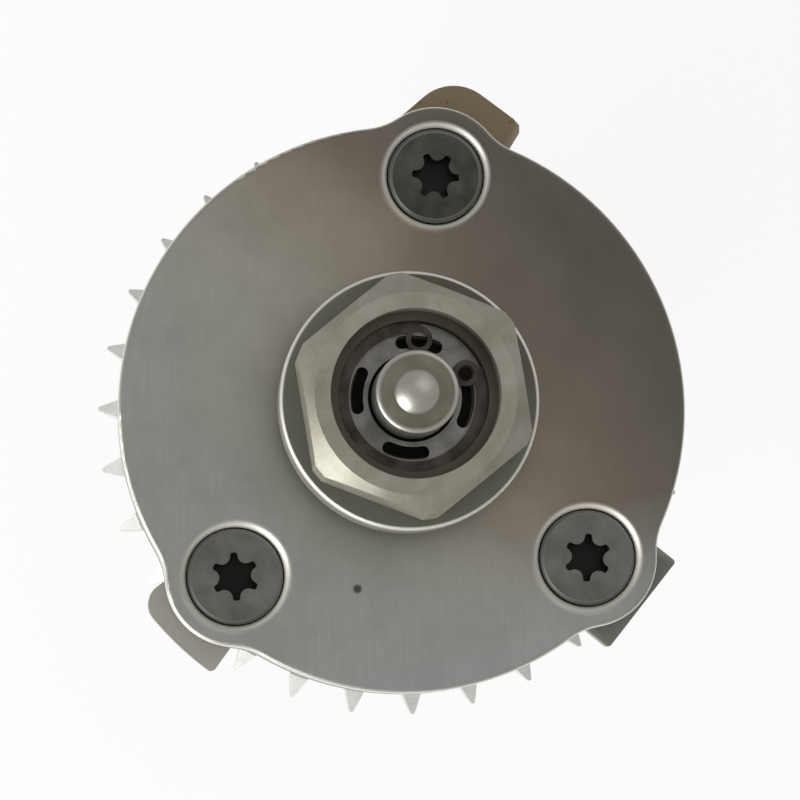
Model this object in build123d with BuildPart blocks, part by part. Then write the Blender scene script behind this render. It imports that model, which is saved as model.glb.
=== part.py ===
from build123d import *
from math import cos, pi, radians, sin, sqrt, tan
import os

# A camshaft gear with a variable-timing drive inside it. The chain turns the outer body,
# the vaned rotor turns the camshaft, and oil from the central valve sets the angle between them.
# Z is the camshaft's axis, Z = 0 is the face that the camshaft's end is clamped against,
# and +Z points out of the engine, to the hex head. All sizes in mm and degrees.

# Stack along the axis
hub_stand_off = 1.0
rear_plate_t = 4.0
plate_edge = 0.3
body_len = 18.0
cover_t = 6.0
collar_rise = 4.8

# Cover and its screws
cover_overhang = 3.2
cover_edge_r = 0.6
ear_reach = 3.1
ear_blend_r = 9.0
screw_angles = (82.0, 225.3, 321.3)
star_angles = (55.0, 94.0, 27.0)
recess_floor_t = 2.3
recess_gap = 0.18
recess_lip = 1.3

# Screw with a low round head and a six-lobe socket
screw_r = 2.5
screw_head_r = 6.5
screw_head_h = 3.2
screw_head_edge = 0.45
screw_end_gap = 0.6
star_tip_r = 3.25
star_root_r = 2.15
star_flute_r = 1.15
star_edge_r = 0.35
star_points = 6
star_depth = 2.6
thread_gap = 0.05
screw_hole_gap = 0.12

# Drive body: chain teeth for a roller chain, drum, chambers
teeth = 30
chain_pitch = 8.0
roller_r = 2.525
seat_half_angle = 68.5
flank_r = 30.0
flank_turn = 8.8
tip_rise = 3.02
tooth_w = 4.4
tooth_tip_w = 2.2
tooth_relief_h = 2.9
tooth_phase = 10.0
teeth_height = 3.2
root_step = 0.24
screw_wall = 0.58
front_rim_step = 1.3
lug_t = 2.6
drum_wall = 5.5
chamber_corner_r = 1.0
web_corner_r = 1.5

# Lugs of the drive body that stick out past the cover's ears
lug_root_r = 34.0
crown_lug_points = (
    (-2.3, 33.5),
    (-0.8, 40.2),
    (7.2, 47.2),
    (15.8, 40.9),
    (16.6, 40.0),
    (16.6, 38.9),
    (12.7, 32.5),
)
crown_lug_round = 6.3
round_lug_r = 44.05
round_lug_angles = (216.0, 234.5)
round_lug_rounds = (3.0, 0.8)
square_lug_r = 42.6
square_lug_w = 15.1
square_lug_angle = -38.2
square_lug_edge = 0.5

# Rotor
hub_r = 18.5
rear_hub_r = 16.0
collar_r = 13.4
rotor_corner_r = 1.0
vane_corner_r = 1.5
vane_angles_wide = (50.0, 34.0, 40.0)
phase_travel = 30.0
stop_gap = 0.6
run_gap = 0.1
end_gap = 0.08
oil_hole_r = 1.5
oil_hole_step = 5.0
advance_port_height = 13.5
retard_port_height = 4.5

# Tip seals and the leaf springs under them
seal_w = 2.0
seal_h = 2.5
seal_side_gap = 0.04
seal_run_gap = 0.06
leaf_space = 0.7
leaf_t = 0.2
leaf_w = 1.6
leaf_end_gap = 0.6
leaf_gap = 0.02
lock_vane_seal_shift = 14.0

# Lock pin
lock_vane_wall = 2.05
lock_shift = -9.0
lock_pin_r = 3.6
lock_nose_r = 3.2
lock_nose_h = 3.4
lock_pin_len = 11.0
lock_pin_gap = 0.05
lock_pin_wall = 1.2
lock_cap_t = 2.4
lock_cap_inset = 0.1
lock_vent_r = 1.0
lock_rest_gap = 0.02
lock_edge = 0.4
lock_bush_r = 5.5
lock_bush_gap = 0.35
lock_bush_depth = 3.2
lock_wire_r = 0.4
lock_spring_gap = 0.25
lock_spring_turns = 5

# Valve bolt
shank_r = 10.8
shank_gap = 0.3
land_r = 11.0
land_len = 13.0
flange_r = 17.35
flange_t = 7.0
flange_edge = 0.5
hex_af = 28.8
hex_h = 10.4
hex_turn = 9.4
hex_corner_r = 16.1
hex_crown_r = 13.3
hex_crown_angle = 30.0
mouth_r = 11.2
mouth_depth = 4.2
ring_bore_r = 10.0
ring_bore_len = 3.4
valve_bore_r = 8.0
port_groove_w = 4.0
port_groove_depth = 0.8
port_hole_r = 1.5
port_holes = 4
inlet_r = 5.0
neck_r = 9.6
neck_len = 7.0
tail_r = 10.5
tail_len = 3.5
thread_r = 10.0
thread_len = 15.0
thread_lead = 1.2
spring_seat_gap = 0.02
wire_sides = 6

# Retaining ring and slotted stop disc in the bolt's mouth
ring_t = 1.0
ring_groove_depth = 0.6
ring_band = 2.0
ring_play = 0.1
ring_lug_r = 1.75
ring_lug_pitch_r = 7.7
ring_lug_hole_r = 1.1
ring_lug_angles = (24.6, 83.8)
stop_t = 1.2
stop_slots = 4
stop_slot_r = 7.4
stop_slot_w = 1.7
stop_slot_span = 36.0
stop_slot_turn = -7.0
nose_gap = 0.4

# Spool, its nose cap and its spring
spool_gap = 0.05
spool_groove_r = 5.8
spool_core_r = 4.2
spool_foot_height = 6.0
spool_land_h = 5.2
spool_end_gap = 0.05
spool_hole_r = 1.0
spool_holes = 4
nose_r = 5.5
nose_rise = 2.3
nose_edge = 0.6
nose_neck_h = 6.0
button_base_r = 3.0
button_h = 1.3
spool_wire_r = 0.5
spool_spring_r = 6.6
spool_spring_turns = 4

# Check valve at the foot of the bolt
carrier_t = 1.2
carrier_drop = 3.0
carrier_hole_r = 1.4
carrier_hole_pitch_r = 4.0
carrier_holes = 4
ball_r = 2.8
ball_spring_r = 1.8
ball_wire_r = 0.25
ball_spring_turns = 3
ball_spring_h = 3.0
seat_t = 3.0
seat_hole_r = 2.2
seat_gap = 0.02
press_gap = 0.02
inlet_len = 5.0
inlet_holes = 6
filter_t = 0.6
filter_gap = 0.1

# How near a corner must lie to a radius to count as on it
tiny = 0.01

# Heights and radii that follow from the sizes above
body_z = hub_stand_off + rear_plate_t
cover_z = body_z + body_len
face_z = cover_z + cover_t
collar_z = face_z + collar_rise
flange_z = collar_z + flange_t
hex_z = flange_z + hex_h
teeth_z = body_z + teeth_height
advance_z = body_z + advance_port_height
retard_z = body_z + retard_port_height
pitch_r = chain_pitch / (2 * sin(pi / teeth))
tip_r = pitch_r + tip_rise
drum_r = pitch_r - roller_r - root_step
front_rim_r = drum_r + front_rim_step
chamber_r = drum_r - drum_wall
cover_r = drum_r + cover_overhang
screw_pitch_r = drum_r - screw_wall - screw_hole_gap - screw_r
ear_r = cover_r + ear_reach - screw_pitch_r
recess_z = cover_z + recess_floor_t
recess_r = screw_head_r + recess_gap
vane_tip_r = chamber_r - run_gap
web_tip_r = hub_r + run_gap
lock_pitch_r = vane_tip_r - lock_vane_wall - lock_pin_gap - lock_pin_r
rotor_z = body_z + end_gap
rotor_top_z = cover_z - end_gap
rotor_bore_r = shank_r + shank_gap
mouth_z = hex_z - mouth_depth
ledge_z = mouth_z - ring_bore_len
stop_top_z = ledge_z + stop_t
nose_z = hex_z + nose_rise
carrier_z = -carrier_drop - carrier_t
ball_cap_h = sqrt(ball_r**2 - (ball_spring_r - ball_wire_r) ** 2)
ball_z = carrier_z - ball_spring_h - ball_cap_h - spring_seat_gap
seat_top_z = ball_z - sqrt(ball_r**2 - seat_hole_r**2) - seat_gap
seat_z = seat_top_z - seat_t
inlet_z = seat_z - inlet_len
neck_z = -land_len - neck_len
tail_z = neck_z - tail_len
thread_z = tail_z - thread_len
seal_len = rotor_top_z - rotor_z
seal_groove_w = seal_w + 2 * seal_side_gap
seal_groove_depth = seal_h + leaf_space
vane_seal_r = chamber_r - seal_run_gap
web_seal_r = hub_r + seal_run_gap
lock_pin_z = rotor_z + lock_rest_gap
lock_cap_z = rotor_top_z - lock_cap_inset - lock_cap_t
lock_bush_z = body_z - lock_bush_depth
inlet_hole_z = (neck_z - land_len) / 2
spool_z = spool_foot_height
spool_top_z = ledge_z - spool_end_gap
spool_middle_z = advance_z - spool_land_h / 2
spool_guide_z = spool_top_z - spool_land_h


def place(r, angle, z=0.0):
    """The point at radius r and angle round the camshaft's axis, at height z."""
    return (r * cos(radians(angle)), r * sin(radians(angle)), z)


def sector(r_in, r_out, start, end):
    """A slice of a ring between two angles, as a flat sketch."""
    with BuildSketch() as slice_of_ring:
        with BuildLine():
            inner = CenterArc((0, 0), r_in, start, end - start)
            outer = CenterArc((0, 0), r_out, start, end - start)
            Line(inner @ 0, outer @ 0)
            Line(inner @ 1, outer @ 1)
        make_face()
    return slice_of_ring.sketch


def at_radius(corners, r):
    """The corners of a sketch that lie at radius r from the camshaft's axis."""
    return [v for v in corners if abs(sqrt(v.X**2 + v.Y**2) - r) < tiny]


def across(angle, z):
    """A plane that faces out from the axis at this angle and height, for a radial hole."""
    return Plane(origin=(0, 0, z), x_dir=(0, 0, 1), z_dir=place(1, angle))


def coil(wire_r, mean_r, z_low, z_high, turns, x=0.0, y=0.0):
    """A coil spring between two flat seats, its wire drawn with flats instead of round."""
    length = z_high - z_low - 2 * wire_r
    with BuildPart() as spring:
        with BuildLine() as path:
            Helix(length / turns, length, mean_r, center=(x, y, z_low + wire_r))
        with BuildSketch(Plane(origin=path.line @ 0, z_dir=path.line % 0)):
            RegularPolygon(wire_r, wire_sides)
        sweep(is_frenet=True)
    return spring.part


def leaf(angle, floor_r, seal_r):
    """A bowed strip spring that stands on a groove's floor and presses on a seal's back."""
    way = 1 if seal_r > floor_r else -1
    foot = floor_r + way * leaf_gap
    crown = seal_r - way * (leaf_gap + leaf_t)
    low = rotor_z + leaf_end_gap
    high = rotor_top_z - leaf_end_gap
    middle = (low + high) / 2
    with BuildPart() as strip:
        with BuildSketch(Plane(origin=(0, 0, 0), x_dir=place(1, angle), z_dir=place(1, angle - 90))):
            with BuildLine():
                under = ThreePointArc((foot, low), (crown, middle), (foot, high))
                thick = way * leaf_t
                over = ThreePointArc((foot + thick, low), (crown + thick, middle), (foot + thick, high))
                Line(under @ 0, over @ 0)
                Line(under @ 1, over @ 1)
            make_face()
        extrude(amount=leaf_w / 2, both=True)
    return strip.part


os.makedirs("parts", exist_ok=True)

# The chambers: each runs from one web to the next, and leaves the vane in it the same travel.
chambers = []
for i, vane_width in enumerate(vane_angles_wide):
    near = screw_angles[i]
    far = screw_angles[(i + 1) % len(screw_angles)]
    room = vane_width + 2 * stop_gap + phase_travel
    start = near + ((far - near) % 360 - room) / 2
    vane_end = start + room - stop_gap
    chambers.append((start, start + room, vane_end - vane_width, vane_end))

# The seal sits in the middle of each vane, but beside the lock pin in the widest one.
vane_seal_angles = [(vane_start + vane_end) / 2 for _, _, vane_start, vane_end in chambers]
lock_angle = vane_seal_angles[0] + lock_shift
lock_x, lock_y, _ = place(lock_pitch_r, lock_angle)
vane_seal_angles[0] += lock_vane_seal_shift

# Front cover: a thick round plate with three ears, each with a deep recess for a screw head.
with BuildPart() as front_cover:
    with BuildSketch(Plane.XY.offset(cover_z)):
        Circle(cover_r)
        with Locations([place(screw_pitch_r, angle) for angle in screw_angles]):
            Circle(ear_r)
        fillet(at_radius(vertices(), cover_r), ear_blend_r)
        Circle(collar_r + run_gap, mode=Mode.SUBTRACT)
    extrude(amount=cover_t)
    rim = faces().sort_by(Axis.Z)[-1].outer_wire().edges()
    fillet(rim, cover_edge_r)
    with Locations([place(screw_pitch_r, angle, face_z) for angle in screw_angles]):
        CounterBoreHole(screw_r + screw_hole_gap, recess_r, cover_t - recess_floor_t)
    lips = edges().filter_by(GeomType.CIRCLE).filter_by(lambda e: abs(e.radius - recess_r) < tiny)
    fillet(lips.group_by(Axis.Z)[-1], recess_lip)
front_cover.part.label = "front_cover"
export_step(front_cover.part, "parts/front_cover.step")

# Cover screws: one at each ear, through the cover and the drive body into the rear plate.
for i, (angle, star_angle) in enumerate(zip(screw_angles, star_angles), 1):
    with BuildPart() as cover_screw:
        with BuildSketch(Plane(place(screw_pitch_r, angle, recess_z))):
            Circle(screw_head_r)
        extrude(amount=screw_head_h)
        chamfer(edges().group_by(Axis.Z)[-1], screw_head_edge)
        with BuildSketch(Plane(place(screw_pitch_r, angle, hub_stand_off + screw_end_gap))):
            Circle(screw_r)
        extrude(amount=recess_z - hub_stand_off - screw_end_gap)
        chamfer(edges().group_by(Axis.Z)[0], screw_head_edge)
        with BuildSketch(Plane(place(screw_pitch_r, angle, recess_z + screw_head_h))):
            Circle(star_tip_r)
            flute_angle = star_angle + 180 / star_points
            with PolarLocations(star_root_r + star_flute_r, star_points, start_angle=flute_angle):
                Circle(star_flute_r, mode=Mode.SUBTRACT)
            fillet(vertices(), star_edge_r)
        extrude(amount=-star_depth, mode=Mode.SUBTRACT)
    cover_screw.part.label = f"cover_screw_{i}"
    export_step(cover_screw.part, f"parts/cover_screw_{i}.step")

# The gap between two teeth: the roller's seat, and a flank that curves away on each side.
with BuildSketch() as tooth_gap:
    with BuildLine():
        seat = CenterArc((pitch_r, 0), roller_r, 180 - seat_half_angle, 2 * seat_half_angle)
        upper = JernArc(seat @ 0, -(seat % 0), flank_r, flank_turn)
        lower = JernArc(seat @ 1, seat % 1, flank_r, -flank_turn)
        Line(upper @ 1, lower @ 1)
    make_face()

# The lugs' outlines: a rounded crown at the top, a blunt arc and a square block.
with BuildSketch() as crown_lug:
    with BuildLine():
        Polyline(*crown_lug_points, close=True)
    make_face()
    fillet(vertices().sort_by(Axis.Y)[-1], crown_lug_round)
with BuildSketch() as round_lug:
    add(sector(lug_root_r, round_lug_r, *round_lug_angles))
    for angle, round_r in zip(round_lug_angles, round_lug_rounds):
        fillet(vertices().sort_by_distance(place(round_lug_r, angle))[0], round_r)
with BuildSketch() as square_lug:
    Rectangle(square_lug_r, square_lug_w, align=(Align.MIN, Align.CENTER))
    fillet(vertices().group_by(Axis.X)[-1], square_lug_edge)

# Drive body: one sintered piece with the chain teeth, the drum, the three lugs, and the
# webs that part the three chambers. Its blank is turned first, then the tooth gaps are cut.
with BuildPart() as drive_body:
    with BuildSketch(Plane.XZ):
        tooth_shoulder_r = tip_r - tooth_relief_h
        Polygon(
            (0, body_z),
            (drum_r, body_z),
            (drum_r, teeth_z - tooth_w / 2),
            (tooth_shoulder_r, teeth_z - tooth_w / 2),
            (tip_r, teeth_z - tooth_tip_w / 2),
            (tip_r, teeth_z + tooth_tip_w / 2),
            (tooth_shoulder_r, teeth_z + tooth_w / 2),
            (drum_r, teeth_z + tooth_w / 2),
            (drum_r, cover_z - lug_t),
            (front_rim_r, cover_z - lug_t),
            (front_rim_r, cover_z),
            (0, cover_z),
            align=None,
        )
    revolve(axis=Axis.Z)
    with BuildSketch(Plane.XY.offset(teeth_z)):
        with PolarLocations(0, teeth, start_angle=tooth_phase + 180 / teeth):
            add(tooth_gap.sketch)
    extrude(amount=tooth_w / 2, both=True, mode=Mode.SUBTRACT)
    with BuildSketch(Plane.XY.offset(cover_z)):
        add(crown_lug.sketch)
        add(round_lug.sketch)
        with PolarLocations(0, 1, start_angle=square_lug_angle):
            add(square_lug.sketch)
    extrude(amount=-lug_t)
    with BuildSketch(Plane.XY.offset(body_z)):
        Circle(web_tip_r)
        for start, end, _, _ in chambers:
            add(sector(web_tip_r / 2, chamber_r, start, end))
        fillet(at_radius(vertices(), chamber_r), chamber_corner_r)
        fillet(at_radius(vertices(), web_tip_r), web_corner_r)
        for angle in screw_angles:
            with PolarLocations(web_tip_r, 1, start_angle=angle):
                Rectangle(2 * seal_groove_depth, seal_groove_w)
        with Locations([place(screw_pitch_r, angle) for angle in screw_angles]):
            Circle(screw_r + screw_hole_gap)
    extrude(amount=body_len, mode=Mode.SUBTRACT)
drive_body.part.label = "drive_body"
export_step(drive_body.part, "parts/drive_body.step")

# Rear plate: closes the chambers at the camshaft's end, takes the screws' threads and
# carries the bush that the lock pin drops into.
with BuildPart() as rear_plate:
    with BuildSketch(Plane.XY.offset(hub_stand_off)):
        Circle(drum_r)
        Circle(rear_hub_r + run_gap, mode=Mode.SUBTRACT)
        with Locations([place(screw_pitch_r, angle) for angle in screw_angles]):
            Circle(screw_r + thread_gap, mode=Mode.SUBTRACT)
        with Locations((lock_x, lock_y)):
            Circle(lock_vent_r, mode=Mode.SUBTRACT)
    extrude(amount=rear_plate_t)
    with BuildSketch(Plane((lock_x, lock_y, body_z))):
        Circle(lock_bush_r + press_gap)
    extrude(amount=-lock_bush_depth, mode=Mode.SUBTRACT)
    rim = faces().sort_by(Axis.Z)[0].outer_wire().edges()
    chamfer(rim, plate_edge)
rear_plate.part.label = "rear_plate"
export_step(rear_plate.part, "parts/rear_plate.step")

# Lock bush: a hard ring pressed into the rear plate.
with BuildPart() as lock_bush:
    with BuildSketch(Plane((lock_x, lock_y, lock_bush_z))):
        Circle(lock_bush_r)
        Circle(lock_nose_r + lock_bush_gap, mode=Mode.SUBTRACT)
    extrude(amount=lock_bush_depth)
lock_bush.part.label = "lock_bush"
export_step(lock_bush.part, "parts/lock_bush.step")

# Web seals: a bar in each web's tip that wipes the rotor's hub, with its bowed strip spring.
for i, angle in enumerate(screw_angles, 1):
    with BuildPart() as web_seal:
        with BuildSketch(Plane.XY.offset(rotor_z)):
            with PolarLocations(web_seal_r, 1, start_angle=angle):
                Rectangle(2 * seal_h, seal_w)
            Circle(web_seal_r, mode=Mode.SUBTRACT)
        extrude(amount=seal_len)
    web_seal.part.label = f"web_seal_{i}"
    export_step(web_seal.part, f"parts/web_seal_{i}.step")
    web_seal_spring = leaf(angle, web_tip_r + seal_groove_depth, web_seal_r + seal_h)
    web_seal_spring.label = f"web_seal_spring_{i}"
    export_step(web_seal_spring, f"parts/web_seal_spring_{i}.step")

# Rotor: the hub with three vanes, the rear hub that meets the camshaft, and the front collar
# that stands out through the cover, all one sintered piece.
with BuildPart() as rotor:
    with BuildSketch(Plane.XY.offset(rotor_z)):
        Circle(hub_r)
        for _, _, vane_start, vane_end in chambers:
            add(sector(hub_r / 2, vane_tip_r, vane_start, vane_end))
        fillet(at_radius(vertices(), vane_tip_r), vane_corner_r)
        fillet(at_radius(vertices(), hub_r), rotor_corner_r)
        for angle in vane_seal_angles:
            with PolarLocations(vane_tip_r, 1, start_angle=angle):
                Rectangle(2 * seal_groove_depth, seal_groove_w, mode=Mode.SUBTRACT)
        with Locations((lock_x, lock_y)):
            Circle(lock_pin_r + lock_pin_gap, mode=Mode.SUBTRACT)
    extrude(amount=seal_len)
    with BuildSketch():
        Circle(rear_hub_r)
    extrude(amount=rotor_z)
    with BuildSketch(Plane.XY.offset(rotor_top_z)):
        Circle(collar_r)
    extrude(amount=collar_z - rotor_top_z)
    with BuildSketch():
        Circle(rotor_bore_r)
    extrude(amount=collar_z, mode=Mode.SUBTRACT)
    for _, _, vane_start, vane_end in chambers:
        for angle, z in ((vane_start - oil_hole_step, advance_z), (vane_end + oil_hole_step, retard_z)):
            with BuildSketch(across(angle, z)):
                Circle(oil_hole_r)
            extrude(amount=vane_tip_r, mode=Mode.SUBTRACT)
rotor.part.label = "rotor"
export_step(rotor.part, "parts/rotor.step")

# Vane seals: a bar in each vane's tip that wipes the chamber's wall, with its strip spring.
for i, angle in enumerate(vane_seal_angles, 1):
    with BuildPart() as vane_seal:
        with BuildSketch(Plane.XY.offset(rotor_z)):
            Circle(vane_seal_r)
            with PolarLocations(vane_seal_r, 1, start_angle=angle):
                Rectangle(2 * seal_h, seal_w, mode=Mode.INTERSECT)
        extrude(amount=seal_len)
    vane_seal.part.label = f"vane_seal_{i}"
    export_step(vane_seal.part, f"parts/vane_seal_{i}.step")
    vane_seal_spring = leaf(angle, vane_tip_r - seal_groove_depth, vane_seal_r - seal_h)
    vane_seal_spring.label = f"vane_seal_spring_{i}"
    export_step(vane_seal_spring, f"parts/vane_seal_spring_{i}.step")

# Lock pin: a stepped pin in the widest vane, hollow for its spring. Pushed down by the spring
# into the bush it locks the rotor to the drive body, and oil under its step lifts it clear.
with BuildPart() as lock_pin:
    with BuildSketch(Plane((lock_x, lock_y, lock_pin_z))):
        Circle(lock_nose_r)
    extrude(amount=lock_nose_h)
    chamfer(edges().group_by(Axis.Z)[0], lock_edge)
    with BuildSketch(Plane((lock_x, lock_y, lock_pin_z + lock_nose_h))):
        Circle(lock_pin_r)
    extrude(amount=lock_pin_len - lock_nose_h)
    with BuildSketch(Plane((lock_x, lock_y, lock_pin_z + lock_nose_h))):
        Circle(lock_pin_r - lock_pin_wall)
    extrude(amount=lock_pin_len - lock_nose_h, mode=Mode.SUBTRACT)
lock_pin.part.label = "lock_pin"
export_step(lock_pin.part, "parts/lock_pin.step")

# Lock pin cap: a disc pressed into the vane above the pin, with a vent hole.
with BuildPart() as lock_pin_cap:
    with BuildSketch(Plane((lock_x, lock_y, lock_cap_z))):
        Circle(lock_pin_r + lock_pin_gap - press_gap)
        Circle(lock_vent_r, mode=Mode.SUBTRACT)
    extrude(amount=lock_cap_t)
lock_pin_cap.part.label = "lock_pin_cap"
export_step(lock_pin_cap.part, "parts/lock_pin_cap.step")

# Lock pin spring: stands in the hollow pin and pushes against the cap.
lock_pin_spring = coil(
    lock_wire_r,
    lock_pin_r - lock_pin_wall - lock_spring_gap - lock_wire_r,
    lock_pin_z + lock_nose_h + spring_seat_gap,
    lock_cap_z - spring_seat_gap,
    lock_spring_turns,
    lock_x,
    lock_y,
)
lock_pin_spring.label = "lock_pin_spring"
export_step(lock_pin_spring, "parts/lock_pin_spring.step")

# Valve bolt: holds the rotor on the camshaft and is the body of the oil control valve. Oil
# comes in at the neck, and leaves through the two grooves on the shank.
with BuildPart() as valve_bolt:
    with BuildSketch(Plane.XZ):
        Polygon(
            (0, thread_z),
            (thread_r - thread_lead, thread_z),
            (thread_r, thread_z + thread_lead),
            (thread_r, tail_z),
            (tail_r, tail_z),
            (tail_r, neck_z),
            (neck_r, neck_z),
            (neck_r, -land_len),
            (land_r, -land_len),
            (land_r, 0),
            (shank_r, 0),
            (shank_r, collar_z),
            (flange_r, collar_z),
            (flange_r, flange_z),
            (0, flange_z),
            align=None,
        )
    revolve(axis=Axis.Z)
    fillet(edges().filter_by(lambda e: abs(e.center().Z - flange_z) < tiny), flange_edge)
    with BuildSketch(Plane.XY.offset(flange_z)):
        RegularPolygon(hex_af / 2, 6, major_radius=False, rotation=hex_turn + 30)
        Circle(hex_corner_r, mode=Mode.INTERSECT)
    extrude(amount=hex_h)
    with BuildSketch(Plane.XZ):
        crown_out = hex_af - hex_crown_r
        crown_drop = crown_out * tan(radians(hex_crown_angle))
        Polygon(
            (hex_crown_r, hex_z),
            (hex_crown_r + crown_out, hex_z),
            (hex_crown_r + crown_out, hex_z - crown_drop),
            align=None,
        )
    revolve(axis=Axis.Z, mode=Mode.SUBTRACT)
    with BuildSketch(Plane.XZ):
        Polygon(
            (0, hex_z),
            (mouth_r, hex_z),
            (mouth_r, mouth_z),
            (ring_bore_r, mouth_z),
            (ring_bore_r, stop_top_z + ring_t + ring_play),
            (ring_bore_r + ring_groove_depth, stop_top_z + ring_t + ring_play),
            (ring_bore_r + ring_groove_depth, stop_top_z),
            (ring_bore_r, stop_top_z),
            (ring_bore_r, ledge_z),
            (valve_bore_r, ledge_z),
            (valve_bore_r, seat_z),
            (inlet_r, seat_z),
            (inlet_r, inlet_z),
            (0, inlet_z),
            align=None,
        )
    revolve(axis=Axis.Z, mode=Mode.SUBTRACT)
    for z in (advance_z, retard_z):
        with BuildSketch(Plane.XY.offset(z)):
            Circle(shank_r)
            Circle(shank_r - port_groove_depth, mode=Mode.SUBTRACT)
        extrude(amount=port_groove_w / 2, both=True, mode=Mode.SUBTRACT)
        for hole in range(port_holes):
            with BuildSketch(across(hole * 360 / port_holes, z)):
                Circle(port_hole_r)
            extrude(amount=shank_r, mode=Mode.SUBTRACT)
    for hole in range(inlet_holes):
        with BuildSketch(across(hole * 360 / inlet_holes, inlet_hole_z)):
            Circle(port_hole_r)
        extrude(amount=neck_r, mode=Mode.SUBTRACT)
valve_bolt.part.label = "valve_bolt"
export_step(valve_bolt.part, "parts/valve_bolt.step")

# Stop disc: a slotted washer on the bore's ledge that keeps the spool in and lets oil drain.
with BuildPart() as stop_disc:
    with BuildSketch(Plane.XY.offset(ledge_z)):
        Circle(ring_bore_r - ring_play)
        Circle(nose_r + nose_gap, mode=Mode.SUBTRACT)
        for slot in range(stop_slots):
            start = stop_slot_turn + slot * 360 / stop_slots - stop_slot_span / 2
            SlotArc(CenterArc((0, 0), stop_slot_r, start, stop_slot_span), stop_slot_w, mode=Mode.SUBTRACT)
    extrude(amount=stop_t)
stop_disc.part.label = "stop_disc"
export_step(stop_disc.part, "parts/stop_disc.step")

# Retaining ring: an open spring ring in the bore's groove, with two eyes for the pliers.
with BuildPart() as retaining_ring:
    with BuildSketch(Plane.XY.offset(stop_top_z)):
        ring_r = ring_bore_r + ring_groove_depth - ring_play
        Circle(ring_r)
        Circle(ring_r - ring_band, mode=Mode.SUBTRACT)
        add(sector(ring_r / 2, 2 * ring_r, *ring_lug_angles), mode=Mode.SUBTRACT)
        with Locations([place(ring_lug_pitch_r, angle) for angle in ring_lug_angles]):
            Circle(ring_lug_r)
            Circle(ring_lug_hole_r, mode=Mode.SUBTRACT)
    extrude(amount=ring_t)
retaining_ring.part.label = "retaining_ring"
export_step(retaining_ring.part, "parts/retaining_ring.step")

# Spool: a hollow slider whose lands open and close the ports in the bolt's wall.
with BuildPart() as spool:
    with BuildSketch(Plane.XY.offset(spool_z)):
        Circle(spool_groove_r)
    extrude(amount=spool_top_z - spool_z)
    for z in (spool_z, spool_middle_z, spool_guide_z):
        with BuildSketch(Plane.XY.offset(z)):
            Circle(valve_bore_r - spool_gap)
        extrude(amount=spool_land_h)
    with BuildSketch(Plane.XY.offset(spool_z)):
        Circle(spool_core_r)
    extrude(amount=spool_top_z - spool_z, mode=Mode.SUBTRACT)
    for hole in range(spool_holes):
        with BuildSketch(across(hole * 360 / spool_holes, (advance_z + retard_z) / 2)):
            Circle(spool_hole_r)
        extrude(amount=valve_bore_r, mode=Mode.SUBTRACT)
spool.part.label = "spool"
export_step(spool.part, "parts/spool.step")

# Spool nose: a hard cap pressed into the spool. The solenoid's pin pushes on its button.
with BuildPart() as spool_nose:
    with BuildSketch(Plane.XY.offset(spool_top_z)):
        Circle(nose_r)
    extrude(amount=nose_z - spool_top_z)
    fillet(edges().group_by(Axis.Z)[-1], nose_edge)
    with BuildSketch(Plane.XY.offset(spool_top_z)):
        Circle(spool_core_r - press_gap)
    extrude(amount=-nose_neck_h)
    with BuildSketch(Plane.XZ):
        with BuildLine():
            button_r = (button_base_r**2 + button_h**2) / (2 * button_h)
            dome = RadiusArc((button_base_r, nose_z), (0, nose_z + button_h), -button_r)
            Polyline(dome @ 1, (0, nose_z - button_h), (button_base_r, nose_z - button_h), dome @ 0)
        make_face()
    revolve(axis=Axis.Z)
spool_nose.part.label = "spool_nose"
export_step(spool_nose.part, "parts/spool_nose.step")

# Spool spring: pushes the spool up against the stop disc.
spool_spring = coil(
    spool_wire_r,
    spool_spring_r,
    -carrier_drop + spring_seat_gap,
    spool_z - spring_seat_gap,
    spool_spring_turns,
)
spool_spring.label = "spool_spring"
export_step(spool_spring, "parts/spool_spring.step")

# Spring carrier: a drilled disc pressed in the bore, the seat of the spool's and the ball's springs.
with BuildPart() as spring_carrier:
    with BuildSketch(Plane.XY.offset(carrier_z)):
        Circle(valve_bore_r - press_gap)
        with PolarLocations(carrier_hole_pitch_r, carrier_holes):
            Circle(carrier_hole_r, mode=Mode.SUBTRACT)
    extrude(amount=carrier_t)
spring_carrier.part.label = "spring_carrier"
export_step(spring_carrier.part, "parts/spring_carrier.step")

# Check valve: a ball held on its seat by a light spring, so oil can't run back.
with BuildPart() as check_ball:
    with Locations((0, 0, ball_z)):
        Sphere(ball_r)
check_ball.part.label = "check_ball"
export_step(check_ball.part, "parts/check_ball.step")

check_ball_spring = coil(
    ball_wire_r,
    ball_spring_r,
    carrier_z - ball_spring_h,
    carrier_z - spring_seat_gap,
    ball_spring_turns,
)
check_ball_spring.label = "check_ball_spring"
export_step(check_ball_spring, "parts/check_ball_spring.step")

with BuildPart() as check_seat:
    with BuildSketch(Plane.XY.offset(seat_z)):
        Circle(valve_bore_r - press_gap)
        Circle(seat_hole_r, mode=Mode.SUBTRACT)
    extrude(amount=seat_t)
check_seat.part.label = "check_seat"
export_step(check_seat.part, "parts/check_seat.step")

# Filter screen: a band of fine mesh round the neck, over the holes where the oil comes in.
with BuildPart() as filter_screen:
    with BuildSketch(Plane.XY.offset(neck_z + filter_gap)):
        Circle(neck_r + filter_gap + filter_t)
        Circle(neck_r + filter_gap, mode=Mode.SUBTRACT)
    extrude(amount=neck_len - 2 * filter_gap)
filter_screen.part.label = "filter_screen"
export_step(filter_screen.part, "parts/filter_screen.step")
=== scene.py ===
import math

import bmesh
import bpy
from mathutils import Matrix, Vector


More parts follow.
